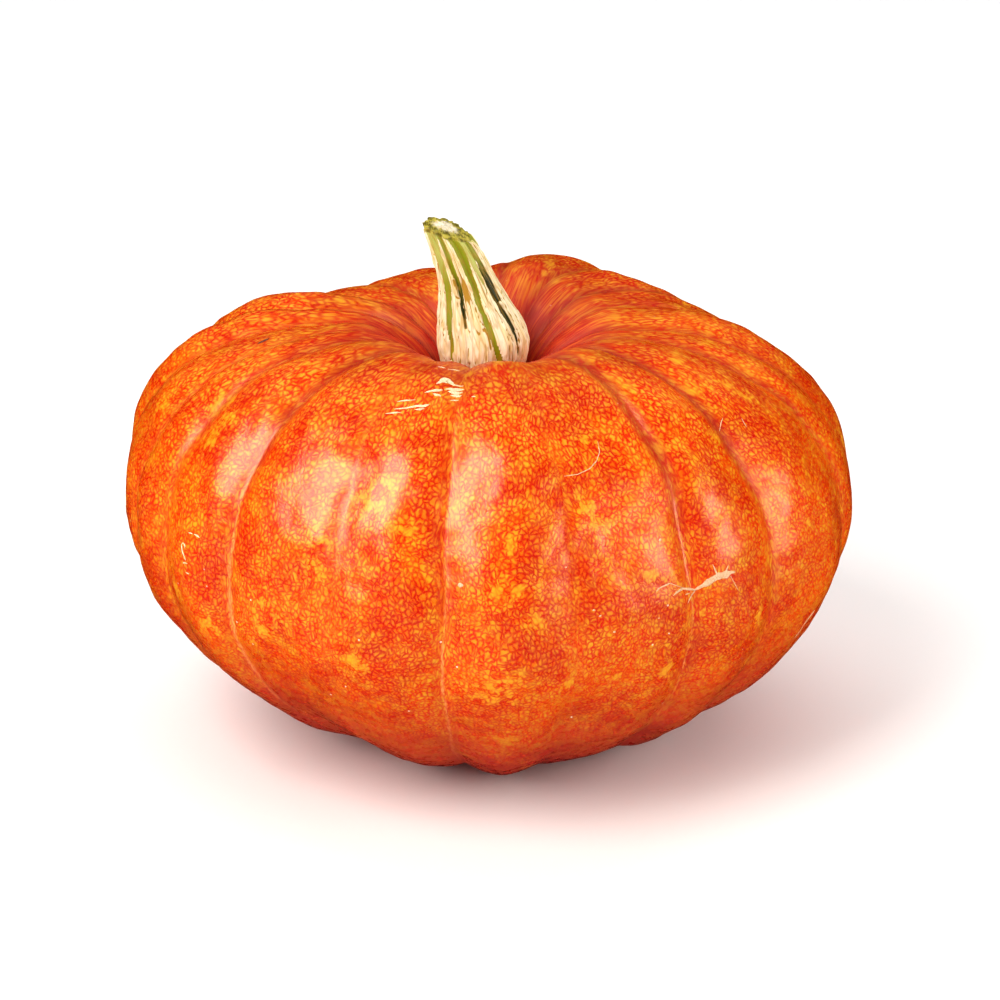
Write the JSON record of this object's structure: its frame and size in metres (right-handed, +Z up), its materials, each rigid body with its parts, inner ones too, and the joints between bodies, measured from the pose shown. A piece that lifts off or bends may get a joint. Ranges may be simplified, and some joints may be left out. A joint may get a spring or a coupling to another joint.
{
  "type": "pumpkin",
  "caption": "Squat ribbed orange-red pumpkin with a leaning corky stalk in its hollow, resting on the flattened undersides of its ribs.",
  "frame": {"origin": "centre of the object's box, on the surface that it rests on", "axes": "+Z up, +X to the right of the pictured front, which faces -Y"},
  "size_m": [0.2922, 0.2628, 0.2057],
  "materials": {
    "skin": "waxy orange-red rind, semi-gloss, netted with darker red",
    "bark": "dry cream cork over olive-green ridges, matt"
  },
  "bodies": {
    "root": {"fruit": "skin", "stalk": "bark"}
  },
  "joints": []
}
